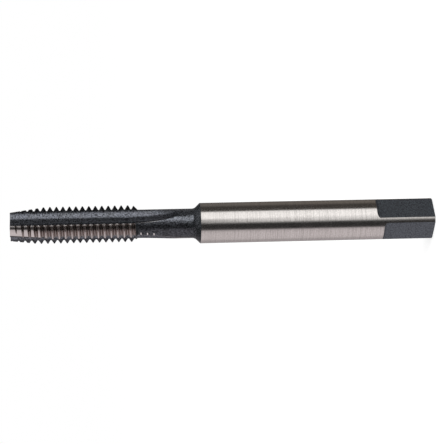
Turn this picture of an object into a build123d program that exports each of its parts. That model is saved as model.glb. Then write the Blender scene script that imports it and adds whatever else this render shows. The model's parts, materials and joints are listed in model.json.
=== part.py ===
from build123d import *
import math
import os

# Straight-flute hand tap for an M6 x 1 right-hand thread, ground from one bar of tool steel.
# Millimetres. +Z runs along the tool's axis to the cutting tip. The origin is the centre of the
# end face of the driving square, whose four flats face +X, -X, +Y and -Y.

# ---- driving dimensions -------------------------------------------------------------------
overall_length = 66.0

# shank and neck
shank_diameter = 6.3
neck_diameter = 4.6
shoulder_from_tip = 28.5  # thread and neck together, to the foot of the shoulder's cone
shoulder_angle = 45.0
shoulder_fillet = 1.0

# driving square, milled as two pairs of flats
square_across_flats = 5.0
square_length_x = 8.6  # the pair that faces +X and -X
square_length_y = 7.5  # the pair that faces +Y and -Y
square_cutter_radius = 0.55  # corner radius of the mill, left where each flat runs out
end_chamfer = 0.1

# thread
thread_diameter = 6.0
thread_pitch = 1.0
thread_length = 19.0
thread_angle = 60.0
thread_crest_flat = 0.125
thread_depth = 0.613
thread_groove_rise = 0.205  # height of a groove in the first flute, above a whole pitch from the end
thread_back_angle = 45.0  # slope from the last crest down to the neck

# lead: the first teeth, ground off on a cone that falls away behind each cutting edge
lead_angle = 8.0
lead_tip_diameter = 4.6
lead_relief = 0.3  # how far the cone's axis is shifted towards the cutting edge

# flutes
flute_count = 3
flute_radius = 2.2
core_diameter = 2.8
flute_straight_length = 18.0
flute_wheel_radius = 35.0  # rim of the grinding wheel, which rises out of the neck
first_flute_angle = 0.0

# ---- working values -----------------------------------------------------------------------
shank_radius = shank_diameter / 2
neck_radius = neck_diameter / 2
thread_radius = thread_diameter / 2
root_radius = thread_radius - thread_depth
core_radius = core_diameter / 2
shoulder_z = overall_length - shoulder_from_tip
thread_end_z = overall_length - thread_length
seam_angle = 45.0  # the turned faces close here, along a corner of the square, clear of the flutes
overrun = 1.0  # how far a cutter passes the stock that it cuts
crest_overrun = 0.05  # the same for the thread's groove, whose neighbour is close


def turned_blank():
    """Shank, shoulder, neck and the full round of the thread, turned on one axis."""
    shoulder_drop = (shank_radius - neck_radius) / math.tan(math.radians(shoulder_angle))
    back_drop = (thread_radius - neck_radius) / math.tan(math.radians(thread_back_angle))
    outline = Polyline(
        (0, 0),
        (shank_radius - end_chamfer, 0),
        (shank_radius, end_chamfer),
        (shank_radius, shoulder_z - shoulder_drop),
        (neck_radius, shoulder_z),
        (neck_radius, thread_end_z - back_drop),
        (thread_radius, thread_end_z),
        (thread_radius, overall_length),
        (0, overall_length),
        close=True,
    )
    profile = make_face(outline)
    foot = profile.vertices().sort_by_distance((neck_radius, shoulder_z, 0))[0]
    profile = fillet(foot, shoulder_fillet)
    return Rot(0, 0, seam_angle) * revolve(Plane.XZ * profile, Axis.Z)


def flute_angles():
    return [first_flute_angle + 360 / flute_count * i for i in range(flute_count)]


def thread_groove():
    """The helical space between the teeth, a truncated V, as one solid for each turn.

    Each turn starts and ends in the middle of the first flute, where the flute takes its ends away.
    """
    flank = math.tan(math.radians(thread_angle / 2))
    outside_radius = thread_radius + crest_overrun
    half_at_crest = (thread_pitch - thread_crest_flat) / 2
    half_at_root = half_at_crest - thread_depth * flank
    half_outside = half_at_crest + (outside_radius - thread_radius) * flank
    start_z = thread_end_z - thread_pitch + thread_groove_rise
    turns = math.ceil((overall_length - start_z) / thread_pitch) + 1
    section = Plane.XZ * make_face(
        Polyline(
            (root_radius, -half_at_root),
            (outside_radius, -half_outside),
            (outside_radius, half_outside),
            (root_radius, half_at_root),
            close=True,
        )
    )
    path = Helix(pitch=thread_pitch, height=thread_pitch, radius=root_radius)
    turn = Rot(0, 0, first_flute_angle) * sweep(section, path=path, is_frenet=True)
    return [Pos(0, 0, start_z + i * thread_pitch) * turn for i in range(turns)]


def flute_cutter():
    """Round-nosed grinding pass: straight along the thread, then up and out through the neck."""
    centre_radius = core_radius + flute_radius
    straight_end_z = overall_length - flute_straight_length
    sweep_radius = flute_wheel_radius - flute_radius
    straight = Line(
        (centre_radius, 0, overall_length + overrun),
        (centre_radius, 0, straight_end_z),
    )
    lift = neck_radius + flute_radius + overrun - centre_radius
    rise = math.degrees(math.acos(1 - lift / sweep_radius))
    run_out = JernArc(
        start=(centre_radius, straight_end_z),
        tangent=(0, -1),
        radius=sweep_radius,
        arc_size=rise,
    )
    run_out = Plane.XZ * run_out
    path = Wire([straight, run_out])
    section = Plane(path @ 0, z_dir=path % 0) * Circle(flute_radius)
    return sweep(section, path=path)


def lead_relief_cutter():
    """What the lead grinding takes off one land that is centred on +X."""
    slope = math.tan(math.radians(lead_angle))
    tip_radius = lead_tip_diameter / 2
    foot_radius = thread_radius + 2 * lead_relief
    lead_run = (foot_radius - tip_radius) / slope
    ring_radius = foot_radius + lead_relief + overrun
    half_pitch = 180 / flute_count
    foot_z = overall_length - lead_run
    height = lead_run + overrun
    sector = Cylinder(ring_radius, height, arc_size=2 * half_pitch, align=None)
    sector = Pos(0, 0, foot_z) * Rot(0, 0, -half_pitch) * sector
    cone = Pos(0, lead_relief, foot_z) * Cone(
        foot_radius,
        foot_radius - height * slope,
        height,
        align=(Align.CENTER, Align.CENTER, Align.MIN),
    )
    return sector - cone


def square_cutter(length):
    """Milling pass for the flat that faces +X, with the mill's corner radius where it ends."""
    depth = shank_radius - square_across_flats / 2
    box = Pos(square_across_flats / 2, 0, -overrun) * Box(
        depth + overrun,
        shank_diameter + overrun,
        length + square_cutter_radius + overrun,
        align=(Align.MIN, Align.CENTER, Align.MIN),
    )
    inner_edge = box.edges().filter_by(Axis.Y).sort_by(Axis.X)[:2].sort_by(Axis.Z)[-1]
    return fillet(inner_edge, square_cutter_radius)


def square_cutters():
    for angle in (0, 180):
        yield Rot(0, 0, angle) * square_cutter(square_length_x)
    for angle in (90, 270):
        yield Rot(0, 0, angle) * square_cutter(square_length_y)


def tap():
    body = turned_blank()
    body -= thread_groove()
    land_offset = 180 / flute_count
    for angle in flute_angles():
        body -= Rot(0, 0, angle + land_offset) * lead_relief_cutter()
    for angle in flute_angles():
        body -= Rot(0, 0, angle) * flute_cutter()
    for cutter in square_cutters():
        body -= cutter
    return body


os.makedirs("parts", exist_ok=True)
part = tap()
part.label = "tap"
export_step(part, "parts/tap.step")
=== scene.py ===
import json
import logging
import math
from dataclasses import dataclass, field
from enum import Enum
from typing import Callable, Sequence

import bmesh
import bpy
from mathutils import Matrix, Vector

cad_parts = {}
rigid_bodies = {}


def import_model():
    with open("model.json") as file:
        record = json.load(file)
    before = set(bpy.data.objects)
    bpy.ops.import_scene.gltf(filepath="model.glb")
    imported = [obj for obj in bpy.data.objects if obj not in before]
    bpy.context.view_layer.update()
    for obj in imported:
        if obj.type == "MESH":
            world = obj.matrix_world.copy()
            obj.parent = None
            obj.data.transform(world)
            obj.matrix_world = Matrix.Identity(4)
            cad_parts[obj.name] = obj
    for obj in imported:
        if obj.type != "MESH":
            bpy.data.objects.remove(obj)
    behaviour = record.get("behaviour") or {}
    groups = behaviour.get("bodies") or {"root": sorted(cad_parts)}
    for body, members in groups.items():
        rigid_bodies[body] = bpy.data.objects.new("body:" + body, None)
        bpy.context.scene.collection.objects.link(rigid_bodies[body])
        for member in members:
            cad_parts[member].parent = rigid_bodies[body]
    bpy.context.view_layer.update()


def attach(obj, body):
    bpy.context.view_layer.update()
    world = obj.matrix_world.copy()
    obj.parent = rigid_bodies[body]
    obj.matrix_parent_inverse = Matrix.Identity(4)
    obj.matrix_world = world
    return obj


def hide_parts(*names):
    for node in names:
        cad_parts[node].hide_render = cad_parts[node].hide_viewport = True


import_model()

log = logging.getLogger("thread_tap")

MM = 0.001  # metres in a millimetre

Colour = tuple[float, float, float]
Pair = tuple[float, float]
Node = bpy.types.Node
Socket = bpy.types.NodeSocket
Inputs = dict[int | str, object]


class Finish(Enum):
    """The surfaces that the tap's faces can have, in the order of its material slots."""

    GROUND_SHANK = "ground_shank"
    GROUND_THREAD = "ground_thread"
    RELIEVED_LEAD = "relieved_lead"
    OXIDE_NECK = "oxide_neck"
    OXIDE_FLUTE = "oxide_flute"
    OXIDE_SQUARE = "oxide_square"
    CUT_END = "cut_end"


@dataclass(frozen=True)
class TapSizes:
    """The sizes that more than one part of the tap follows, in millimetres, +Z to the tip."""

    length: float = 66.0
    shank_radius: float = 3.15
    neck_radius: float = 2.3
    thread_radius: float = 3.0
    thread_depth: float = 0.613
    thread_length: float = 19.0
    flute_count: int = 3
    flute_radius: float = 2.2
    flute_straight: float = 18.0
    core_radius: float = 1.4
    wheel_radius: float = 35.0


SIZES = TapSizes()


# ---------------------------------------------------------------------------- modelling helpers


def deselect_all() -> None:
    """Leaves no object selected."""
    for obj in bpy.context.view_layer.objects:
        obj.select_set(False)


def make_active(obj: bpy.types.Object) -> None:
    """Selects one object alone and makes it active.

    Args:
        obj: The object to work on.
    """
    deselect_all()
    obj.select_set(True)
    bpy.context.view_layer.objects.active = obj


def into_mesh(obj: bpy.types.Object) -> None:
    """Moves an object's place, turn and scale into its mesh."""
    make_active(obj)
    bpy.ops.object.transform_apply(location=True, rotation=True, scale=True)


def named(name: str) -> bpy.types.Object:
    """Names the object that was just added, and moves its place and turn into its mesh.

    Args:
        name: Name for the object and its mesh.

    Returns:
        The object.
    """
    obj = bpy.context.object
    obj.name = name
    obj.data.name = name
    into_mesh(obj)
    return obj


def edit(obj: bpy.types.Object, mode: str = "FACE", action: str = "SELECT") -> None:
    """Opens an object in edit mode.

    Args:
        obj: The object to edit.
        mode: VERT, EDGE or FACE.
        action: SELECT or DESELECT, for everything in it.
    """
    make_active(obj)
    bpy.ops.object.mode_set(mode="EDIT")
    bpy.ops.mesh.select_mode(type=mode)
    bpy.ops.mesh.select_all(action=action)


def done() -> None:
    """Goes back to object mode."""
    bpy.ops.object.mode_set(mode="OBJECT")


def edge_middle(edge: bmesh.types.BMEdge) -> Vector:
    """The middle of an edge."""
    return (edge.verts[0].co + edge.verts[1].co) / 2


def pick(obj: bpy.types.Object, kind: str, test: Callable[[Vector], bool]) -> None:
    """Selects the points or edges of the mesh in edit mode that pass a test.

    Args:
        obj: The object in edit mode.
        kind: verts or edges.
        test: Takes a point, or the middle of an edge, and says whether it is selected.
    """
    shape = bmesh.from_edit_mesh(obj.data)
    for part in getattr(shape, kind):
        if test(part.co if kind == "verts" else edge_middle(part)):
            part.select = True
    shape.select_flush_mode()
    bmesh.update_edit_mesh(obj.data)


def close_end(tube: bpy.types.Object, test: Callable[[Vector], bool]) -> None:
    """Closes one open end of a tube with a face.

    Args:
        tube: The open tube.
        test: Takes the middle of an edge and says whether it lies at that end.
    """
    edit(tube, "EDGE", "DESELECT")
    bpy.ops.mesh.select_non_manifold()
    shape = bmesh.from_edit_mesh(tube.data)
    for edge in shape.edges:
        if edge.select and not test(edge_middle(edge)):
            edge.select = False
    shape.select_flush_mode()
    bmesh.update_edit_mesh(tube.data)
    bpy.ops.mesh.edge_face_add()
    done()


def face_outwards(obj: bpy.types.Object, gap: float = 1e-8) -> None:
    """Merges doubled points and turns every face outwards.

    Args:
        obj: A closed mesh.
        gap: Points nearer than this become one, in metres.
    """
    edit(obj)
    bpy.ops.mesh.remove_doubles(threshold=gap)
    bpy.ops.mesh.normals_make_consistent(inside=False)
    done()


def paint(obj: bpy.types.Object, material: bpy.types.Material) -> None:
    """Gives the whole of an object one material."""
    obj.data.materials.clear()
    obj.data.materials.append(material)


def cut(body: bpy.types.Object, tool: bpy.types.Object) -> None:
    """Takes a closed tool away from a closed body; the new faces keep the tool's material.

    Args:
        body: What is cut.
        tool: What cuts, and is deleted afterwards.
    """
    make_active(body)
    step = body.modifiers.new(tool.name, "BOOLEAN")
    step.operation = "DIFFERENCE"
    step.solver = "MANIFOLD"
    step.material_mode = "TRANSFER"
    step.object = tool
    bpy.ops.object.modifier_apply(modifier=step.name)
    bpy.data.objects.remove(tool)


def turned_copy(obj: bpy.types.Object, angle: float, name: str) -> bpy.types.Object:
    """A copy with its own mesh, turned about the tap's axis.

    Args:
        obj: The object to copy.
        angle: Degrees about +Z.
        name: The copy's name.

    Returns:
        The copy, with the turn in its mesh.
    """
    make_active(obj)
    bpy.ops.object.duplicate()
    twin = named(name)
    twin.rotation_euler = (0, 0, math.radians(angle))
    into_mesh(twin)
    return twin


def cut_round(
    body: bpy.types.Object, tool: bpy.types.Object, angles: Sequence[float], name: str
) -> None:
    """Cuts with a tool at several angles about the tap's axis, and deletes the tool.

    Args:
        body: What is cut.
        tool: What cuts, at angle 0.
        angles: Degrees about +Z of each pass.
        name: Name of a pass.
    """
    for angle in angles:
        cut(body, turned_copy(tool, angle, name))
    bpy.data.objects.remove(tool)


# ------------------------------------------------------------------------------- shader helpers


# Numbers of the Mix node's colour sockets, whose names its other sockets have too.
MIX_A = 6
MIX_B = 7
MIX_RESULT = 2


@dataclass
class Weave:
    """A node tree being wired, with short names for the nodes that the finishes use."""

    tree: bpy.types.NodeTree

    def add(self, kind: str, inputs: Inputs | None = None, **settings: object) -> Node:
        """Adds a node.

        Args:
            kind: The node's type, such as ShaderNodeMath.
            inputs: What its inputs take.
            settings: Properties to set on it.

        Returns:
            The node.
        """
        node = self.tree.nodes.new(kind)
        for key, value in settings.items():
            setattr(node, key, value)
        self.feed(node, inputs or {})
        return node

    def feed(self, node: Node, inputs: Inputs) -> None:
        """Sets inputs of a node to values, or links them to other nodes.

        Args:
            node: The node that takes them.
            inputs: A socket, a number, a colour or a vector for each input's name or number.
        """
        for place, value in inputs.items():
            if isinstance(value, Socket):
                self.tree.links.new(value, node.inputs[place])
            else:
                node.inputs[place].default_value = value

    def math(self, operation: str, a: object, b: object = 0.0, clamp: bool = False) -> Socket:
        """One step of arithmetic, held between 0 and 1 if it is clamped."""
        settings = {"operation": operation, "use_clamp": clamp}
        return self.add("ShaderNodeMath", {0: a, 1: b}, **settings).outputs[0]

    def plus(self, a: object, b: object) -> Socket:
        """The sum of two values."""
        return self.math("ADD", a, b)

    def minus(self, a: object, b: object) -> Socket:
        """The first value less the second."""
        return self.math("SUBTRACT", a, b)

    def times(self, a: object, b: object) -> Socket:
        """The product of two values."""
        return self.math("MULTIPLY", a, b)

    def ratio(self, a: object, b: object) -> Socket:
        """The first value divided by the second."""
        return self.math("DIVIDE", a, b)

    def length(self, a: Socket, b: Socket) -> Socket:
        """The length of a flat vector."""
        return self.math("SQRT", self.plus(self.times(a, a), self.times(b, b)))

    def range(self, value: object, low: float, high: float, *ends: float) -> Socket:
        """Maps the span from low to high onto 0 and 1, or onto two other ends, held at both."""
        inputs = dict(enumerate((value, low, high, *ends)))
        return self.add("ShaderNodeMapRange", inputs, clamp=True).outputs[0]

    def mix(self, share: object, a: object, b: object, blend: str = "MIX") -> Socket:
        """Mixes two colours, where share is how much the second one has."""
        inputs = {0: share, MIX_A: a, MIX_B: b}
        settings = {"data_type": "RGBA", "blend_type": blend}
        return self.add("ShaderNodeMix", inputs, **settings).outputs[MIX_RESULT]

    def dot(self, vector: Socket, direction: Sequence[float]) -> Socket:
        """How far a vector reaches along a direction, which has a length of 1."""
        inputs = {0: vector, 1: tuple(direction)}
        return self.add("ShaderNodeVectorMath", inputs, operation="DOT_PRODUCT").outputs["Value"]

    def noise(self, vector: Socket, scale: object, detail: float, rough: float) -> Socket:
        """Grey noise around 0.5."""
        inputs = {"Vector": vector, "Scale": scale, "Detail": detail, "Roughness": rough}
        return self.add("ShaderNodeTexNoise", inputs).outputs[0]

    def bump(self, height: Socket, strength: float, depth: float) -> Socket:
        """A normal with a fine relief, depth millimetres high."""
        inputs = {"Height": height, "Strength": strength, "Distance": depth * MM}
        return self.add("ShaderNodeBump", inputs).outputs[0]


# -------------------------------------------------------------------------------- shared effects


@dataclass(frozen=True)
class Effect:
    """A shader node group that several finishes place, built once.

    Attributes:
        name: The group's name.
        takes: Names of its inputs; Position is a vector and the rest are numbers.
        gives: Names of its outputs, all numbers.
    """

    name: str
    takes: tuple[str, ...]
    gives: tuple[str, ...]

    def wire(self, weave: Weave, inside: Node, out: Node) -> None:
        """Wires the group's own nodes.

        Args:
            weave: The group's node tree.
            inside: The node that gives the group's inputs.
            out: The node that takes its outputs.
        """
        raise NotImplementedError

    def tree(self) -> bpy.types.NodeTree:
        """The group's node tree, made the first time that it is asked for.

        Returns:
            The node tree.
        """
        found = bpy.data.node_groups.get(self.name)
        if found:
            return found
        tree = bpy.data.node_groups.new(self.name, "ShaderNodeTree")
        for item in self.takes:
            kind = "NodeSocketVector" if item == "Position" else "NodeSocketFloat"
            tree.interface.new_socket(name=item, in_out="INPUT", socket_type=kind)
        for item in self.gives:
            tree.interface.new_socket(name=item, in_out="OUTPUT", socket_type="NodeSocketFloat")
        weave = Weave(tree)
        self.wire(weave, weave.add("NodeGroupInput"), weave.add("NodeGroupOutput"))
        return tree

    def place(self, weave: Weave, **values: object) -> Node:
        """Puts the effect in a material, with what its inputs take."""
        return weave.add("ShaderNodeGroup", values, node_tree=self.tree())


@dataclass(frozen=True)
class BarPlace(Effect):
    """Where a point lies on the bar and how far it is from the nearest flute, in millimetres.

    Round is its distance from the axis, Along its height, and Turn its angle from +X as a share
    of a turn. Gap is its distance from the flute's surface, and Side its distance from the
    flute's middle plane, below 0 on the cutting side.
    """

    name: str = "bar_place"
    takes: tuple[str, ...] = ("Position",)
    gives: tuple[str, ...] = ("Round", "Along", "Turn", "Gap", "Side")

    def wire(self, weave: Weave, inside: Node, out: Node) -> None:
        """Works out the place, and the distance to the path of the flute's grinding wheel.

        Args:
            weave: The group's node tree.
            inside: The node that gives the group's inputs.
            out: The node that takes its outputs.
        """
        split = weave.add("ShaderNodeSeparateXYZ", {0: inside.outputs["Position"]})
        x, y, z = (weave.ratio(socket, MM) for socket in split.outputs)
        reach = weave.length(x, y)
        turn = weave.ratio(weave.math("ARCTAN2", y, x), 2 * math.pi)
        count = SIZES.flute_count
        nearest = weave.ratio(weave.math("ROUND", weave.times(turn, count)), count)
        local = weave.times(weave.minus(turn, nearest), 2 * math.pi)
        ahead = weave.times(reach, weave.math("COSINE", local))
        side = weave.times(reach, weave.math("SINE", local))
        hub = SIZES.core_radius + SIZES.wheel_radius
        path = SIZES.wheel_radius - SIZES.flute_radius
        straight_end = SIZES.length - SIZES.flute_straight
        below = weave.math("MINIMUM", weave.minus(z, straight_end), 0.0)
        off_path = weave.minus(weave.length(weave.minus(ahead, hub), below), path)
        gap = weave.minus(weave.length(off_path, side), SIZES.flute_radius)
        weave.feed(out, dict(enumerate((reach, z, turn, gap, side))))


@dataclass(frozen=True)
class GrindingLines(Effect):
    """Fine lines round the bar that cylindrical grinding leaves, from 0 to 1.

    Attributes:
        detail: How many octaves of finer lines there are.
        rough: How strong each is beside the one before.
    """

    name: str = "grinding_lines"
    takes: tuple[str, ...] = ("Position", "Per mm", "Length")
    gives: tuple[str, ...] = ("Lines",)
    detail: float = 4.0
    rough: float = 0.65

    def wire(self, weave: Weave, inside: Node, out: Node) -> None:
        """Stretches noise round the bar.

        Args:
            weave: The group's node tree.
            inside: The node that gives the group's inputs.
            out: The node that takes its outputs.
        """
        split = weave.add("ShaderNodeSeparateXYZ", {0: inside.outputs["Position"]})
        across = weave.ratio(1 / MM, inside.outputs["Length"])
        along = weave.times(1 / MM, inside.outputs["Per mm"])
        pairs = zip(split.outputs, (across, across, along))
        inputs = {place: weave.times(*pair) for place, pair in enumerate(pairs)}
        drawn = weave.add("ShaderNodeCombineXYZ", inputs).outputs[0]
        weave.feed(out, {0: weave.noise(drawn, 1.0, self.detail, self.rough)})


@dataclass(frozen=True)
class Speckle(Effect):
    """A fine even grain, and slow cloudy patches, both from 0 to 1.

    Attributes:
        detail: How many octaves of finer grain there are.
        rough: How strong each is beside the one before.
    """

    name: str = "speckle"
    takes: tuple[str, ...] = ("Position", "Grain mm", "Patch mm")
    gives: tuple[str, ...] = ("Grain", "Patches")
    detail: float = 4.0
    rough: float = 0.68

    def wire(self, weave: Weave, inside: Node, out: Node) -> None:
        """Makes two noises of different size.

        Args:
            weave: The group's node tree.
            inside: The node that gives the group's inputs.
            out: The node that takes its outputs.
        """
        for place, size in enumerate(("Grain mm", "Patch mm")):
            scale = weave.ratio(1 / MM, inside.outputs[size])
            cloud = weave.noise(inside.outputs["Position"], scale, self.detail, self.rough)
            weave.feed(out, {place: cloud})


BAR_PLACE = BarPlace()
GRINDING_LINES = GrindingLines()
SPECKLE = Speckle()


# ------------------------------------------------------------------------------------- finishes


BARE_STEEL: Colour = (0.86, 0.835, 0.82)
HEEL_DARK: Colour = (0.085, 0.085, 0.092)


def solid(colour: Colour) -> tuple[float, float, float, float]:
    """A colour with full alpha."""
    return (*colour, 1.0)


def new_material(name: str) -> tuple[bpy.types.Material, Weave, Node, Socket]:
    """Makes a material with its Principled shader.

    Args:
        name: The material's name.

    Returns:
        The material, its node tree, the shader and the Object coordinates.
    """
    material = bpy.data.materials.new(name)
    material.use_nodes = True
    weave = Weave(material.node_tree)
    shader = material.node_tree.nodes["Principled BSDF"]
    place = weave.add("ShaderNodeTexCoord").outputs["Object"]
    return material, weave, shader, place


def flute_edge(weave: Weave, spot: Node, whole: float, end: float, cutting: bool = True) -> Socket:
    """A strip along one edge of each flute.

    Args:
        weave: The material's node tree.
        spot: The bar_place group.
        whole: How far from the flute the strip is whole, in millimetres.
        end: How far from the flute it ends.
        cutting: Whether it lies on the cutting side, or else on the heel's.

    Returns:
        A mask from 0 to 1.
    """
    strip = weave.range(spot.outputs["Gap"], whole, end, 1.0, 0.0)
    sign = "LESS_THAN" if cutting else "GREATER_THAN"
    return weave.times(strip, weave.math(sign, spot.outputs["Side"], 0.0))


@dataclass(frozen=True)
class GroundSteel:
    """Bright steel from the grinder. Lengths are millimetres.

    Attributes:
        finish: Which surface it is.
        light: Base colour of the clean metal, linear.
        dull_and_root_shade: Base colour in the streaks and, on the thread, painted shade in the
            roots.
        rough: Roughness of the clean metal.
        line_length: How far a grinding line runs round the bar.
        threaded: Whether the surface is the thread's, with painted shade darkening its roots.
        edge_wear: Width of the burnished strip behind each cutting edge, or 0.
        heel_dark_strip: Width of the dark strip along each heel, or 0.
        lines_per_mm: How close the grinding lines are.
        relief, relief_strength: Height of the lines, and how much of it shows.
        grain_relief: Height of the grain, as a share of the lines'.
        grain_size, patch_size: Size of the grain and of the rougher patches.
        line_span, grain_span, patch_span: Noise values where each starts and is full.
        dulling: Share of the dull colour in a streak or a grain.
        streak_rough, patch_rough, wear_rough: Roughness that each of them adds.
        wear_whole, heel_whole: Share of each strip's width where it is whole.
        wear_depth: Depths below the crest where the burnished strip starts and is full.
        crest_margin: How far below the crest the painted shade starts on the thread's flanks.
    """

    finish: Finish
    light: Colour
    dull_and_root_shade: Colour
    rough: float
    line_length: float = 9.0
    threaded: bool = False
    edge_wear: float = 0.0
    heel_dark_strip: float = 0.0

    lines_per_mm: float = 7.0
    relief: float = 0.001
    relief_strength: float = 0.6
    grain_relief: float = 0.35
    grain_size: float = 0.22
    patch_size: float = 3.5
    line_span: Pair = (0.42, 0.66)
    grain_span: Pair = (0.38, 0.66)
    patch_span: Pair = (0.3, 0.7)
    dulling: float = 0.3
    streak_rough: float = 0.06
    patch_rough: float = 0.05
    wear_rough: float = 0.42
    wear_whole: float = 0.6
    wear_depth: Pair = (0.5, 0.3)
    heel_whole: float = 0.7
    crest_margin: float = 0.08

    def build(self) -> bpy.types.Material:
        """Makes the material.

        Returns:
            The material.
        """
        material, weave, shader, place = new_material(self.finish.value)
        settings = {"Per mm": self.lines_per_mm, "Length": self.line_length}
        lines = GRINDING_LINES.place(weave, Position=place, **settings).outputs[0]
        settings = {"Grain mm": self.grain_size, "Patch mm": self.patch_size}
        speckle = SPECKLE.place(weave, Position=place, **settings)
        streaks = weave.range(lines, *self.line_span)
        grain = weave.range(speckle.outputs["Grain"], *self.grain_span)
        patches = weave.range(speckle.outputs["Patches"], *self.patch_span)
        dull_and_root_shade = weave.times(weave.plus(streaks, grain), self.dulling)
        # Painted shade: on the thread, the roots take the darker colour, more so the deeper they
        # lie.
        if self.threaded:
            dull_and_root_shade = weave.math("MAXIMUM", dull_and_root_shade, self.roots(weave, place))
        colour = weave.mix(dull_and_root_shade, solid(self.light), solid(self.dull_and_root_shade))
        rough = weave.times(streaks, self.streak_rough)
        rough = weave.plus(rough, weave.times(patches, self.patch_rough))
        rough = weave.plus(rough, self.rough)
        if self.edge_wear:
            colour, rough = self.worn(weave, place, colour, rough)
        height = weave.plus(lines, weave.times(grain, self.grain_relief))
        normal = weave.bump(height, self.relief_strength, self.relief)
        weave.feed(shader, {"Base Color": colour, "Roughness": rough, "Normal": normal})
        shader.inputs["Metallic"].default_value = 1.0
        return material

    def roots(self, weave: Weave, place: Socket) -> Socket:
        """How deep in the thread a point is, which sets the painted shade in the roots.

        Args:
            weave: The material's node tree.
            place: Object coordinates.

        Returns:
            1 in the roots and 0 near the crests.
        """
        reach = BAR_PLACE.place(weave, Position=place).outputs["Round"]
        root = SIZES.thread_radius - SIZES.thread_depth
        crest = SIZES.thread_radius - self.crest_margin
        return weave.range(reach, root, crest, 1.0, 0.0)

    def worn(
        self, weave: Weave, place: Socket, colour: Socket, rough: Socket
    ) -> tuple[Socket, Socket]:
        """Burnishes the teeth's tops behind the cutting edges and darkens a strip at the heels.

        Args:
            weave: The material's node tree.
            place: Object coordinates.
            colour: The metal's colour.
            rough: Its roughness.

        Returns:
            The colour and the roughness with the wear in them.
        """
        spot = BAR_PLACE.place(weave, Position=place)
        edge = flute_edge(weave, spot, self.edge_wear * self.wear_whole, self.edge_wear)
        if self.threaded:
            start, full = (SIZES.thread_radius - depth for depth in self.wear_depth)
            edge = weave.times(edge, weave.range(spot.outputs["Round"], start, full))
        colour = weave.mix(edge, colour, solid(BARE_STEEL))
        rough = weave.plus(rough, weave.times(edge, self.wear_rough))
        if self.heel_dark_strip:
            whole = self.heel_dark_strip * self.heel_whole
            heel = flute_edge(weave, spot, whole, self.heel_dark_strip, cutting=False)
            colour = weave.mix(heel, colour, solid(HEEL_DARK))
        return colour, rough


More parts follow.
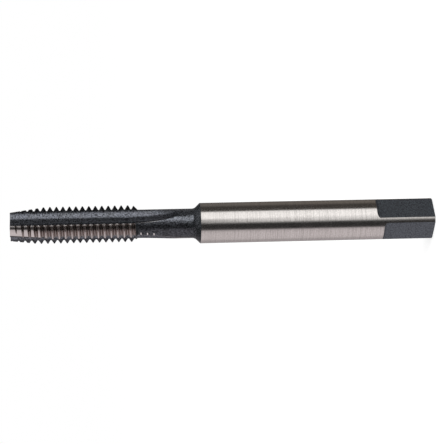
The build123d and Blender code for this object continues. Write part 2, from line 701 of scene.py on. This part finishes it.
@dataclass(frozen=True)
class OxideSteel:
    """Steel under a blue-black oxide. Lengths are millimetres.

    Attributes:
        finish: Which surface it is.
        dark: Base colour of the oxide, linear.
        blue: Base colour of its blue patches and, on a bar with a painted lit side, of that side.
        rough: Roughness.
        metallic: Share of metal, lower where the oxide is thicker.
        contrast: How much the grain lightens and darkens the oxide.
        painted_rim_shade: Whether the oxide darkens towards the outside of the flutes, between the
            teeth.
        painted_light_side: Whether painted light and shade make one side of the bar lighter.
        bare_edge: Width of the bare metal along the flutes' cutting side, or 0. Where it is
            more, the thread's grinding wheel has left its marks too.
        grain_size, patch_size: Size of the grain and of the bluer patches.
        grain_span, patch_span: Noise values where each starts and is full.
        grain_rough: Roughness that the grain takes away and adds.
        relief, relief_strength: Height of the grain, and how much of it shows.
        painted_light_turn: Where the painted lit side is, as a share of a turn from +X.
        painted_light_span: Cosines of the angle from there where the painted light starts and is
            full.
        painted_side_patches: Share of the patches on a bar with a painted lit side.
        painted_rim_span, painted_rim_factor: Distances from the axis where the painted shade starts
        and is full, and the share of the colour that it leaves there.
        edge_span: Heights between which the bare edge fades in.
        bare_whole, bare_polish: Share of the bare edge where it is whole, and how much less
            rough it is.
        mark_span: Heights between which the wheel's marks lie.
        mark_phase, mark_width: Place and half width of a mark, as shares of a turn.
        mark_gap: Distances from the flute where a mark is whole and ends.
    """

    finish: Finish
    dark: Colour
    blue: Colour
    rough: float
    metallic: float
    contrast: float
    # painted_rim_shade: Whether painted shade darkens the flutes outwards, between the teeth.
    painted_rim_shade: bool = False
    painted_light_side: bool = False
    bare_edge: float = 0.0

    grain_size: float = 0.21
    patch_size: float = 1.6
    grain_span: Pair = (0.38, 0.62)
    patch_span: Pair = (0.35, 0.65)
    grain_rough: Pair = (0.04, 0.05)
    relief: float = 0.002
    relief_strength: float = 0.5
    painted_light_turn: float = 0.045
    painted_light_span: Pair = (0.1, 0.9)
    painted_side_patches: float = 0.3
    painted_rim_span: Pair = (1.8, 2.4)
    painted_rim_factor: float = 0.36
    edge_span: Pair = (42.6, 44.6)
    bare_whole: float = 0.4
    bare_polish: float = 0.08
    mark_span: Pair = (43.2, 46.3)
    mark_phase: float = 0.14
    mark_width: float = 0.10
    mark_gap: Pair = (0.34, 0.44)

    def build(self) -> bpy.types.Material:
        """Makes the material.

        Returns:
            The material.
        """
        material, weave, shader, place = new_material(self.finish.value)
        settings = {"Grain mm": self.grain_size, "Patch mm": self.patch_size}
        speckle = SPECKLE.place(weave, Position=place, **settings)
        grain = weave.range(speckle.outputs["Grain"], *self.grain_span)
        patches = weave.range(speckle.outputs["Patches"], *self.patch_span)
        # Painted light and shade: one side of the bar is made lighter and the opposite side darker,
        # as light falls.
        if self.painted_light_side:
            patches = weave.mix(self.painted_side_patches, self.painted_light_mask(weave, place), patches)
        shade = weave.range(grain, 0.0, 1.0, 1 - self.contrast, 1 + self.contrast)
        # Painted shade: the flutes' oxide darkens away from the axis, between the teeth, where
        # shade falls.
        if self.painted_rim_shade:
            reach = BAR_PLACE.place(weave, Position=place).outputs["Round"]
            shade = weave.times(shade, weave.range(reach, *self.painted_rim_span, 1.0, self.painted_rim_factor))
        inputs = {0: weave.mix(patches, solid(self.dark), solid(self.blue)), "Scale": shade}
        colour = weave.add("ShaderNodeVectorMath", inputs, operation="SCALE").outputs[0]
        less, more = self.grain_rough
        rough = weave.range(grain, 0.0, 1.0, self.rough - less, self.rough + more)
        if self.bare_edge:
            bare = self.worn(weave, place)
            colour = weave.mix(bare, colour, solid(BARE_STEEL))
            rough = weave.minus(rough, weave.times(bare, self.bare_polish))
        normal = weave.bump(grain, self.relief_strength, self.relief)
        weave.feed(shader, {"Base Color": colour, "Roughness": rough, "Normal": normal})
        shader.inputs["Metallic"].default_value = self.metallic
        return material

    def painted_light_mask(self, weave: Weave, place: Socket) -> Socket:
        """The painted lit side of the bar, lighter where the light falls.

        Args:
            weave: The material's node tree.
            place: Object coordinates.

        Returns:
            A mask from 0 to 1.
        """
        turn = BAR_PLACE.place(weave, Position=place).outputs["Turn"]
        away = weave.times(weave.minus(turn, self.painted_light_turn), 2 * math.pi)
        return weave.range(weave.math("COSINE", away), *self.painted_light_span)

    def worn(self, weave: Weave, place: Socket) -> Socket:
        """Where the oxide is off: along the flutes' cutting side and in the wheel's marks.

        Args:
            weave: The material's node tree.
            place: Object coordinates.

        Returns:
            A mask from 0 to 1.
        """
        spot = BAR_PLACE.place(weave, Position=place)
        along = spot.outputs["Along"]
        edge = flute_edge(weave, spot, self.bare_edge * self.bare_whole, self.bare_edge)
        edge = weave.times(edge, weave.range(along, *self.edge_span))
        # The pitch is 1 mm, so a height in millimetres is also a number of turns.
        turns = weave.minus(along, spot.outputs["Turn"])
        phase = weave.math("FRACT", weave.minus(turns, self.mark_phase - 0.5))
        off = weave.math("ABSOLUTE", weave.minus(phase, 0.5))
        mark = weave.range(off, self.mark_width / 2, self.mark_width, 1.0, 0.0)
        first, last = self.mark_span
        mark = weave.times(mark, weave.math("GREATER_THAN", along, first))
        mark = weave.times(mark, weave.math("LESS_THAN", along, last))
        mark = weave.times(mark, flute_edge(weave, spot, *self.mark_gap, cutting=False))
        return weave.math("MAXIMUM", edge, mark)


FINISHES = (
    GroundSteel(
        Finish.GROUND_SHANK,
        (0.745, 0.717, 0.695),
        (0.38, 0.36, 0.347),
        0.14,
    ),
    GroundSteel(
        Finish.GROUND_THREAD,
        (0.90, 0.845, 0.83),
        (0.35, 0.305, 0.29),
        0.14,
        line_length=3.0,
        threaded=True,
        edge_wear=0.25,
    ),
    GroundSteel(
        Finish.RELIEVED_LEAD,
        (0.87, 0.83, 0.815),
        (0.70, 0.655, 0.635),
        0.12,
        line_length=3.0,
        edge_wear=0.30,
        heel_dark_strip=0.28,
    ),
    OxideSteel(
        Finish.OXIDE_NECK,
        # Painted shade and light: the first colour is mostly the neck's shaded side, the second its
        # lit side.
        (0.049, 0.052, 0.058),
        (0.180, 0.193, 0.218),
        0.20,
        metallic=0.91,
        contrast=0.8,
        painted_light_side=True,
        bare_edge=0.05,
    ),
    OxideSteel(
        Finish.OXIDE_FLUTE,
        (0.132, 0.139, 0.155),
        (0.147, 0.157, 0.184),
        0.19,
        metallic=0.88,
        contrast=0.85,
        painted_rim_shade=True,
    ),
    OxideSteel(
        Finish.OXIDE_SQUARE,
        (0.112, 0.124, 0.142),
        (0.117, 0.132, 0.152),
        0.42,
        metallic=0.82,
        contrast=0.5,
    ),
    OxideSteel(
        Finish.CUT_END,
        (0.125, 0.132, 0.142),
        (0.13, 0.14, 0.155),
        0.42,
        metallic=0.85,
        contrast=0.5,
    ),
)


# ------------------------------------------------------------------------------------- the tap


def upright_sheet(name: str, low: Pair, high: Pair) -> bpy.types.Object:
    """A rectangle in the plane of X and Z.

    Args:
        name: Its name.
        low: X and Z of the corner nearest to the origin, in millimetres.
        high: X and Z of the opposite corner.

    Returns:
        The flat mesh.
    """
    (left, foot), (right, top) = low, high
    deselect_all()
    bpy.ops.mesh.primitive_plane_add(size=1, rotation=(math.pi / 2, 0, 0))
    sheet = named(name)
    edit(sheet)
    size = ((right - left) * MM, 1, (top - foot) * MM)
    bpy.ops.transform.resize(value=size, center_override=(0, 0, 0))
    bpy.ops.transform.translate(value=((left + right) / 2 * MM, 0, (foot + top) / 2 * MM))
    done()
    return sheet


@dataclass
class Blank:
    """The turned blank: shank, shoulder, neck and the full round of the thread. Millimetres.

    Attributes:
        shoulder: Height of the foot of the shoulder's cone.
        slope: Angle of that cone and of the thread's back end, in degrees.
        fillet: Radius of the fillet at the cone's foot.
        fillet_steps: How many bands the fillet has.
        chamfer: Width of the chamfer at the driving end.
        around: How many sides the bar has.
        margin: How far below an end a face may lie and still be its end face.
    """

    shoulder: float = 37.5
    slope: float = 45.0
    fillet: float = 1.0
    fillet_steps: int = 10
    chamfer: float = 0.1
    around: int = 240
    margin: float = 1e-4

    def outline(self) -> list[tuple[float, float, Finish]]:
        """The profile from the driving end to the tip.

        Returns:
            Radius and height of each ring, with the finish of the band that leads up to it.
        """
        shank, neck, thread = SIZES.shank_radius, SIZES.neck_radius, SIZES.thread_radius
        slope = math.radians(self.slope)
        shoulder_top = self.shoulder - (shank - neck) / math.tan(slope)
        thread_end = SIZES.length - SIZES.thread_length
        thread_foot = thread_end - (thread - neck) / math.tan(slope)
        rings = [
            (shank, self.chamfer, Finish.CUT_END),
            (shank, shoulder_top, Finish.GROUND_SHANK),
        ]
        centre_radius = neck + self.fillet
        centre_height = self.shoulder + self.fillet * math.tan(slope / 2)
        for step in range(self.fillet_steps + 1):
            angle = slope * (1 - step / self.fillet_steps)
            radius = centre_radius - self.fillet * math.cos(angle)
            height = centre_height - self.fillet * math.sin(angle)
            rings.append((radius, height, Finish.OXIDE_NECK))
        rings.append((neck, thread_foot, Finish.OXIDE_NECK))
        rings.append((thread, thread_end, Finish.OXIDE_NECK))
        rings.append((thread, SIZES.length, Finish.GROUND_THREAD))
        return rings

    def build(self, materials: dict[Finish, bpy.types.Material]) -> bpy.types.Object:
        """Turns the blank.

        Args:
            materials: The material of each finish, in the order of the slots.

        Returns:
            The closed blank.
        """
        rings = self.outline()
        radius, height = SIZES.shank_radius - self.chamfer, 0.0
        deselect_all()
        bpy.ops.mesh.primitive_circle_add(
            vertices=self.around, radius=radius * MM, fill_type="NGON"
        )
        blank = named("cutting_tap")
        edit(blank)
        for ring_radius, ring_height, _ in rings:
            rise = (0, 0, (ring_height - height) * MM)
            bpy.ops.mesh.extrude_region_move(TRANSFORM_OT_translate={"value": rise})
            share = ring_radius / radius
            centre = (0, 0, ring_height * MM)
            bpy.ops.transform.resize(value=(share, share, 1), center_override=centre)
            radius, height = ring_radius, ring_height
        done()
        face_outwards(blank)
        for material in materials.values():
            blank.data.materials.append(material)
        slots = list(materials)
        for face in blank.data.polygons:
            middle = face.center.z / MM + self.margin
            finish = next((band for _, top, band in rings if middle < top), Finish.CUT_END)
            face.material_index = slots.index(finish)
        return blank


@dataclass
class Thread:
    """The helical groove between the teeth, cut with one continuous V tool. Millimetres.

    Attributes:
        pitch: Rise of the thread in a turn.
        crest_flat: Width of the teeth's tops.
        half_angle: Half the angle between two flanks, in degrees.
        clearance: How far the tool stands out of the blank.
        rise: Height of a groove on +X, above a whole pitch from the thread's end.
        turns: How many turns the tool has.
        steps: How many steps make a turn.
    """

    pitch: float = 1.0
    crest_flat: float = 0.125
    half_angle: float = 30.0
    clearance: float = 0.05
    rise: float = 0.205
    turns: int = 21
    steps: int = 120

    def start(self) -> float:
        """Height of the groove's middle where the tool starts, on +X."""
        return SIZES.length - SIZES.thread_length - self.pitch + self.rise

    def section(self) -> bpy.types.Object:
        """The groove's section where the tool starts.

        Returns:
            The flat mesh, narrower at the root.
        """
        flank = math.tan(math.radians(self.half_angle))
        at_crest = (self.pitch - self.crest_flat) / 2
        half_in = at_crest - SIZES.thread_depth * flank
        half_out = at_crest + self.clearance * flank
        inner = SIZES.thread_radius - SIZES.thread_depth
        outer = SIZES.thread_radius + self.clearance
        middle = (inner + outer) / 2 * MM
        start = self.start()
        low, high = (inner, start - half_out), (outer, start + half_out)
        sheet = upright_sheet("groove_tool", low, high)
        edit(sheet, "VERT", "DESELECT")
        pick(sheet, "verts", lambda point: point.x < middle)
        narrow = (1, 1, half_in / half_out)
        bpy.ops.transform.resize(value=narrow, center_override=(0, 0, start * MM))
        done()
        return sheet

    def tool(self, material: bpy.types.Material) -> bpy.types.Object:
        """The path of the groove's section.

        Args:
            material: Finish of the flanks and roots.

        Returns:
            The closed helical tool.
        """
        tool = self.section()
        screw = tool.modifiers.new("turns", "SCREW")
        screw.axis = "Z"
        screw.angle = 2 * math.pi
        screw.screw_offset = self.pitch * MM
        screw.iterations = self.turns
        screw.steps = self.steps
        screw.render_steps = self.steps
        screw.use_smooth_shade = False
        bpy.ops.object.modifier_apply(modifier=screw.name)
        low = (self.start() + self.pitch / 2) * MM
        high = low + (self.turns - 1) * self.pitch * MM
        close_end(tool, lambda point: point.z < low)
        close_end(tool, lambda point: point.z > high)
        face_outwards(tool)
        paint(tool, material)
        return tool


@dataclass
class Lead:
    """The tapered first teeth, each land ground on a cone that falls away behind its cutting edge.

    Lengths are millimetres.

    Attributes:
        angle: Slope of the cone, in degrees.
        tip_radius: Radius of the cone at the tip.
        relief: How far the cone's axis is shifted towards the cutting edge.
        overrun: How far the tool stands out of the blank.
        sector: How far round a pass reaches, in degrees.
        sector_steps: How many steps make the sector.
        around: How many sides the cone has.
    """

    angle: float = 8.0
    tip_radius: float = 2.3
    relief: float = 0.3
    overrun: float = 1.0
    sector: float = 126.0
    sector_steps: int = 24
    around: int = 300

    def wedge(self, radius: float, foot: float, top: float) -> bpy.types.Object:
        """A sector of a round bar, centred on +X.

        Args:
            radius: Radius of the bar.
            foot: Height where it starts.
            top: Height where it ends.

        Returns:
            The closed wedge.
        """
        wedge = upright_sheet("lead_tool", (0, foot), (radius, top))
        edit(wedge)
        sector = math.radians(self.sector)
        bpy.ops.mesh.spin(
            steps=self.sector_steps, angle=sector, center=(0, 0, 0), axis=(0, 0, -1)
        )
        done()
        face_outwards(wedge)
        wedge.rotation_euler = (0, 0, -sector / 2)
        into_mesh(wedge)
        return wedge

    def tool(self, material: bpy.types.Material) -> bpy.types.Object:
        """What the grinding takes off the land that is centred on +X.

        Args:
            material: Finish of the ground taper.

        Returns:
            The closed tool.
        """
        slope = math.tan(math.radians(self.angle))
        foot_radius = SIZES.thread_radius + 2 * self.relief
        run = (foot_radius - self.tip_radius) / slope
        foot = SIZES.length - run
        height = run + self.overrun
        reach = foot_radius + self.relief + self.overrun
        wedge = self.wedge(reach, foot, foot + height)
        paint(wedge, material)
        deselect_all()
        bpy.ops.mesh.primitive_cone_add(
            vertices=self.around,
            radius1=(foot_radius + self.overrun * slope) * MM,
            radius2=(foot_radius - (height + self.overrun) * slope) * MM,
            depth=(height + 2 * self.overrun) * MM,
            location=(0, self.relief * MM, (foot + height / 2) * MM),
        )
        cone = named("lead_cone")
        paint(cone, material)
        cut(wedge, cone)
        return wedge


@dataclass
class Flutes:
    """Round-nosed grooves, straight along the thread and rising out of the neck.

    Attributes:
        overrun: How far the grinding wheel passes the steel, in millimetres.
        around: How many sides the wheel's nose has, as a full circle.
        steps: How many steps make the rise.
    """

    overrun: float = 1.0
    around: int = 144
    steps: int = 36

    def tool(self, material: bpy.types.Material) -> bpy.types.Object:
        """The path of the grinding wheel for the flute that faces +X.

        Args:
            material: Finish of the flute.

        Returns:
            The closed tool.
        """
        centre = SIZES.core_radius + SIZES.flute_radius
        sweep = SIZES.wheel_radius - SIZES.flute_radius
        lift = SIZES.neck_radius + SIZES.flute_radius + self.overrun - centre
        rise = math.acos(1 - lift / sweep)
        deselect_all()
        bpy.ops.mesh.primitive_circle_add(
            vertices=self.around,
            radius=SIZES.flute_radius * MM,
            fill_type="NGON",
            location=(centre * MM, 0, (SIZES.length + self.overrun) * MM),
        )
        tool = named("flute_tool")
        edit(tool)
        drop = (0, 0, -(SIZES.flute_straight + self.overrun) * MM)
        bpy.ops.mesh.extrude_region_move(TRANSFORM_OT_translate={"value": drop})
        hub = ((centre + sweep) * MM, 0, (SIZES.length - SIZES.flute_straight) * MM)
        bpy.ops.mesh.spin(steps=self.steps, angle=rise, center=hub, axis=(0, 1, 0))
        done()
        face_outwards(tool)
        paint(tool, material)
        return tool


@dataclass
class Square:
    """The driving square, milled as two pairs of flats. Millimetres.

    Attributes:
        across: Distance across two flats.
        length_x: Length of the pair that faces +X and -X.
        length_y: Length of the pair that faces +Y and -Y.
        corner: Corner radius of the mill, left where each flat runs out.
        corner_steps: How many flats make that corner.
        overrun: How far the mill passes the steel.
        near: How close to its place an edge has to be, to be that edge.
    """

    across: float = 5.0
    length_x: float = 8.6
    length_y: float = 7.5
    corner: float = 0.55
    corner_steps: int = 10
    overrun: float = 1.0
    near: float = 1e-3

    def tool(self, length: float, material: bpy.types.Material) -> bpy.types.Object:
        """The path of the mill for the flat that faces +X.

        Args:
            length: How long the flat is, up to where the mill's corner radius starts.
            material: Finish of the flat.

        Returns:
            The closed tool.
        """
        low, high = self.across / 2, SIZES.shank_radius + self.overrun
        top = length + self.corner
        deselect_all()
        bpy.ops.mesh.primitive_cube_add(
            size=1,
            location=((low + high) / 2 * MM, 0, (top - self.overrun) / 2 * MM),
            scale=((high - low) * MM, 2 * high * MM, (top + self.overrun) * MM),
        )
        tool = named("flat_tool")
        edit(tool, "EDGE", "DESELECT")
        inner_edge = Vector((low * MM, 0, top * MM))
        pick(tool, "edges", lambda middle: (middle - inner_edge).length < self.near * MM)
        bpy.ops.mesh.bevel(offset=self.corner * MM, segments=self.corner_steps, affect="EDGES")
        done()
        face_outwards(tool)
        paint(tool, material)
        return tool


@dataclass
class ThreadTap:
    """The whole tap, one piece of steel.

    Attributes:
        blank: The turned bar.
        thread: The thread's groove.
        lead: The taper at the tip.
        flutes: The straight flutes.
        square: The driving square.
        smooth_angle: Faces that meet at less than this are shaded as one, in degrees.
        weld: Points of the finished mesh nearer than this become one, in metres.
    """

    blank: Blank = field(default_factory=Blank)
    thread: Thread = field(default_factory=Thread)
    lead: Lead = field(default_factory=Lead)
    flutes: Flutes = field(default_factory=Flutes)
    square: Square = field(default_factory=Square)
    smooth_angle: float = 28.0
    weld: float = 2e-7

    def build(self) -> bpy.types.Object:
        """Machines the tap in the order of the real one.

        Returns:
            The finished piece.
        """
        materials = {item.finish: item.build() for item in FINISHES}
        body = self.blank.build(materials)
        cut(body, self.thread.tool(materials[Finish.GROUND_THREAD]))
        apart = 360 / SIZES.flute_count
        flute_angles = [apart * i for i in range(SIZES.flute_count)]
        land_angles = [angle + apart / 2 for angle in flute_angles]
        wheel = self.lead.tool(materials[Finish.RELIEVED_LEAD])
        cut_round(body, wheel, land_angles, "lead_pass")
        wheel = self.flutes.tool(materials[Finish.OXIDE_FLUTE])
        cut_round(body, wheel, flute_angles, "flute_pass")
        flats = ((self.square.length_x, (0, 180)), (self.square.length_y, (90, 270)))
        for length, angles in flats:
            mill = self.square.tool(length, materials[Finish.OXIDE_SQUARE])
            cut_round(body, mill, angles, "flat_pass")
        self.finish(body)
        return body

    def finish(self, body: bpy.types.Object) -> None:
        """Cleans the mesh, shades it and puts it in the frame.

        Args:
            body: The tap with all its cuts.
        """
        make_active(body)
        split = body.modifiers.new("triangles", "TRIANGULATE")
        bpy.ops.object.modifier_apply(modifier=split.name)
        face_outwards(body, self.weld)
        bpy.ops.object.shade_smooth_by_angle(angle=math.radians(self.smooth_angle))
        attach(body, "root")
        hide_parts("tap")


# ----------------------------------------------------------------------------------- the studio


Stop = tuple[float, float, Colour]


def level_direction(turn: float) -> Vector:
    """The level direction at an angle from +X about the tap's axis, in degrees."""
    angle = math.radians(turn)
    return Vector((math.cos(angle), math.sin(angle), 0))


def empty_material(name: str) -> tuple[bpy.types.Material, Weave]:
    """Makes a material with no nodes in it.

    Args:
        name: The material's name.

    Returns:
        The material and its node tree.
    """
    material = bpy.data.materials.new(name)
    material.use_nodes = True
    material.node_tree.nodes.clear()
    return material, Weave(material.node_tree)


def glow(weave: Weave, colour: object, strength: object) -> Socket:
    """A shader that gives light."""
    return weave.add("ShaderNodeEmission", {"Color": colour, "Strength": strength}).outputs[0]


def eye_rays(weave: Weave) -> Socket:
    """Tells the rays that show the background to the eye, straight, in metal or through glass.

    Args:
        weave: The node tree that asks.

    Returns:
        1 for those rays and 0 for the others.
    """
    path = weave.add("ShaderNodeLightPath")
    total = weave.plus(path.outputs["Is Camera Ray"], path.outputs["Is Glossy Ray"])
    return weave.math("ADD", total, path.outputs["Is Transmission Ray"], clamp=True)


@dataclass(frozen=True)
class Card:
    """A card that stands before the light tent's wall, or a tint on a part of it.

    Attributes:
        foot: Angle where it starts, in degrees as in Studio.
        edge: Angle where it ends.
        soft: Half the width of the fade at that edge, in degrees.
        start: Height where it begins, in metres.
        full: Height from which it is whole.
        light: Its light, divided by the tent's gain, or the tint.
        blend: MIX where it hides the wall, MULTIPLY where it tints it.
    """

    foot: float
    edge: float
    soft: float
    start: float
    full: float
    light: Colour
    blend: str = "MIX"

    def over(self, weave: Weave, wall: Socket, turn: Socket, height: Socket) -> Socket:
        """Puts the card before the wall.

        Args:
            weave: The tent's node tree.
            wall: The wall's light.
            turn: Angle of the place that is looked at, in radians.
            height: Its height, in metres.

        Returns:
            The light with the card in it.
        """
        fade_from = math.radians(self.edge - self.soft)
        fade_to = math.radians(self.edge + self.soft)
        mask = weave.range(turn, fade_from, fade_to, 1.0, 0.0)
        mask = weave.times(mask, weave.math("GREATER_THAN", turn, math.radians(self.foot)))
        mask = weave.times(mask, weave.range(height, self.start, self.full))
        return weave.mix(mask, wall, solid(self.light), self.blend)


CARDS = (
    Card(-30.0, 19.0, 3.0, -0.008, 0.0, (0.018, 0.0176, 0.0174)),
    Card(-47.0, -35.0, 2.5, 0.020, 0.030, (0.26, 0.241, 0.246)),
    Card(66.0, 170.0, 3.0, -0.004, -0.010, (1.09, 1.0, 0.907), "MULTIPLY"),
)
WHITE: Colour = (1.0, 1.0, 1.0)
WARM: Colour = (1.0, 0.99, 0.985)
ROSE: Colour = (1.0, 0.925, 0.945)
PLAIN: Colour = (1.0, 0.98, 0.97)
LEVEL_BAND: tuple[Stop, ...] = (
    (-180, 0.10, PLAIN),
    (-152, 0.45, ROSE),
    (-140, 0.46, ROSE),
    (-125, 0.46, ROSE),
    (-112, 0.65, ROSE),
    (-88, 0.70, ROSE),
    (-60, 0.67, ROSE),
    (-47, 0.55, ROSE),
    (-40, 0.032, PLAIN),
    (-12, 0.035, PLAIN),
    (-8, 0.045, PLAIN),
    (-3.5, 0.25, WARM),
    (2, 0.74, WARM),
    (8, 0.90, WARM),
    (20, 1.08, WARM),
    (28, 1.31, WARM),
    (58, 1.22, WARM),
    (63.7, 1.04, WARM),
    (67.6, 0.06, PLAIN),
    (100, 0.06, PLAIN),
    (118, 0.16, PLAIN),
    (180, 0.12, PLAIN),
)
UPPER_BAND: tuple[Stop, ...] = (
    (-180, 0.06, PLAIN),
    (-150, 0.30, ROSE),
    (-60, 0.60, ROSE),
    (-42, 0.55, ROSE),
    (-34, 0.04, PLAIN),
    (10, 0.06, WARM),
    (30, 0.10, WARM),
    (60, 0.08, WARM),
    (180, 0.06, PLAIN),
)


@dataclass
class Studio:
    """Floor, light and camera, in metres.

    Angles are degrees about the tap's axis from the camera's side, except for camera_turn, which is
    from +X.

    Attributes:
        camera_turn, camera_distance, camera_height: Where the camera stands.
        aim_height: Height of the point on the tap's axis that it looks at.
        aim_lift: How far past the axis it looks, upwards in its picture.
        roll: How far it is rolled.
        lens, sensor: Its focal length and the width of its sensor, in millimetres.
        clip: Nearest and farthest distance that it sees.
        tent_radius, tent_height, tent_sides: Size of the light tent.
        tent_gain: Strength of its light; what its nodes hold is divided by it.
        wall_span, wall_fade: Heights of its level band, and half the height of each fade.
        cap_span: Distances above and below the tap where its caps start and are whole.
        cap_light: Light of the caps, divided by the gain.
        floor_size, floor_colour: Side and colour of the floor.
        floor_glow: Light that the floor adds for the eye.
        plain_light: Strength of the plain light on everything.
        lamp_size, lamp_power: Side of the soft box, and its power in watts.
        lamp_turn, lamp_reach, lamp_height: Where the soft box hangs.
    """

    camera_turn: float = -41.3
    camera_distance: float = 0.265
    camera_height: float = 0.0571
    aim_height: float = 0.033172
    aim_lift: float = 0.0001
    roll: float = 1.243
    lens: float = 138.27
    sensor: float = 36.0
    clip: Pair = (0.01, 20.0)
    tent_radius: float = 0.55
    tent_height: float = 2.4
    tent_sides: int = 96
    tent_gain: float = 2.0
    wall_span: Pair = (-0.45, 0.19)
    wall_fade: float = 0.02
    cap_span: Pair = (0.5, 0.8)
    cap_light: Colour = (0.11, 0.108, 0.106)
    floor_size: float = 6.0
    floor_colour: Colour = (0.5, 0.5, 0.5)
    floor_glow: float = 0.55
    plain_light: float = 0.9
    lamp_size: float = 0.4
    lamp_power: float = 1.5
    lamp_turn: float = 36.0
    lamp_reach: float = 0.35
    lamp_height: float = 0.45

    def build(self) -> None:
        """Sets the studio up."""
        self.camera()
        self.tent()
        self.floor()
        self.world()
        self.lamp()

    def toward_camera(self) -> Vector:
        """The level direction from the tap to the camera."""
        return level_direction(self.camera_turn)

    def across(self) -> Vector:
        """The level direction that the camera sees as up."""
        return level_direction(self.camera_turn + 90)

    def camera(self) -> None:
        """Makes the camera; the tap lies across its picture, tip to the left."""
        data = bpy.data.cameras.new("camera")
        data.lens = self.lens
        data.sensor_width = self.sensor
        data.clip_start, data.clip_end = self.clip
        camera = bpy.data.objects.new("camera", data)
        bpy.context.scene.collection.objects.link(camera)
        place = self.toward_camera() * self.camera_distance + Vector((0, 0, self.camera_height))
        aim = self.across() * self.aim_lift + Vector((0, 0, self.aim_height))
        back = (place - aim).normalized()
        level = Vector((0, 0, -1))
        level = (level - back * level.dot(back)).normalized()
        above = back.cross(level)
        roll = math.radians(self.roll)
        right = level * math.cos(roll) - above * math.sin(roll)
        up = level * math.sin(roll) + above * math.cos(roll)
        camera.rotation_mode = "QUATERNION"
        camera.rotation_quaternion = Matrix((right, up, back)).transposed().to_quaternion()
        camera.location = place
        bpy.context.scene.camera = camera

    def tent(self) -> None:
        """A tent of soft boxes and dark cards round the tap, which only its metal mirrors."""
        deselect_all()
        bpy.ops.mesh.primitive_cylinder_add(
            vertices=self.tent_sides,
            radius=self.tent_radius,
            depth=self.tent_height,
            end_fill_type="NGON",
        )
        tent = named("light_tent")
        material, weave = empty_material("light_tent")
        light = glow(weave, self.wall(weave), self.tent_gain)
        weave.add("ShaderNodeOutputMaterial", {0: light})
        paint(tent, material)
        tent.visible_camera = False
        tent.visible_diffuse = False
        tent.visible_shadow = False
        tent.visible_transmission = False

    def wall(self, weave: Weave) -> Socket:
        """The tent's light, with its bands, cards and caps.

        Args:
            weave: The tent's node tree.

        Returns:
            The colour of each place, divided by the gain.
        """
        place = weave.add("ShaderNodeTexCoord").outputs["Object"]
        ahead = weave.dot(place, self.toward_camera())
        aside = weave.dot(place, self.across())
        turn = weave.math("ARCTAN2", aside, ahead)
        height = weave.dot(place, (0, 0, 1))
        foot, top = self.wall_span
        fade = self.wall_fade
        over = weave.range(height, top - fade, top + fade)
        under = weave.range(height, foot + fade, foot - fade)
        level = self.bands(weave, turn, LEVEL_BAND)
        above = self.bands(weave, turn, UPPER_BAND)
        light = weave.mix(weave.math("MAXIMUM", over, under), level, above)
        for card in CARDS:
            light = card.over(weave, light, turn, height)
        far = weave.range(weave.math("ABSOLUTE", height), *self.cap_span)
        return weave.mix(far, light, solid(self.cap_light))

    def bands(self, weave: Weave, turn: Socket, stops: Sequence[Stop]) -> Socket:
        """Light and dark bands round the tap.

        Args:
            weave: The tent's node tree.
            turn: Angle of the place that is looked at, in radians.
            stops: Angle, brightness and tint of each stop.

        Returns:
            The colour at that place, divided by the gain.
        """
        ramp = weave.add("ShaderNodeValToRGB", {0: weave.range(turn, -math.pi, math.pi)})
        band = ramp.color_ramp
        while len(band.elements) < len(stops):
            band.elements.new(1.0)
        for element, (angle, light, tint) in zip(band.elements, stops):
            element.position = (angle + 180) / 360
            element.color = solid(tuple(light * part / self.tent_gain for part in tint))
        return ramp.outputs[0]

    def floor(self) -> None:
        """A pale floor that keeps the tap's shadow and is white to the eye elsewhere."""
        deselect_all()
        bpy.ops.mesh.primitive_plane_add(size=self.floor_size)
        floor = named("floor")
        material, weave = empty_material("floor")
        soft = weave.add("ShaderNodeBsdfDiffuse", {"Color": solid(self.floor_colour)}).outputs[0]
        light = glow(weave, solid(WHITE), weave.times(eye_rays(weave), self.floor_glow))
        both = weave.add("ShaderNodeAddShader", {0: soft, 1: light}).outputs[0]
        weave.add("ShaderNodeOutputMaterial", {0: both})
        paint(floor, material)
        floor.visible_glossy = False

    def world(self) -> None:
        """White to the eye, and a plain soft light on everything."""
        world = bpy.data.worlds.new("studio")
        world.use_nodes = True
        world.node_tree.nodes.clear()
        bpy.context.scene.world = world
        weave = Weave(world.node_tree)
        strength = weave.range(eye_rays(weave), 0.0, 1.0, self.plain_light, 1.0)
        inputs = {"Color": solid(WHITE), "Strength": strength}
        back = weave.add("ShaderNodeBackground", inputs).outputs[0]
        weave.add("ShaderNodeOutputWorld", {0: back})

    def lamp(self) -> None:
        """The soft box above the tap, which throws its shadow on the floor."""
        data = bpy.data.lights.new("soft_box", "AREA")
        data.shape = "SQUARE"
        data.size = self.lamp_size
        data.energy = self.lamp_power
        lamp = bpy.data.objects.new("soft_box", data)
        bpy.context.scene.collection.objects.link(lamp)
        side = level_direction(self.camera_turn + self.lamp_turn)
        lamp.location = side * self.lamp_reach + Vector((0, 0, self.lamp_height))
        lamp.rotation_mode = "QUATERNION"
        lamp.rotation_quaternion = (-lamp.location).to_track_quat("-Z", "Y")
        lamp.visible_glossy = False


def main() -> None:
    """Builds the tap and the studio round it."""
    logging.basicConfig(level=logging.INFO, format="%(message)s")
    bpy.context.scene.view_settings.view_transform = "Standard"
    body = ThreadTap().build()
    log.info("%s: %d triangles", body.name, len(body.data.polygons))
    Studio().build()


if __name__ == "__main__":
    main()
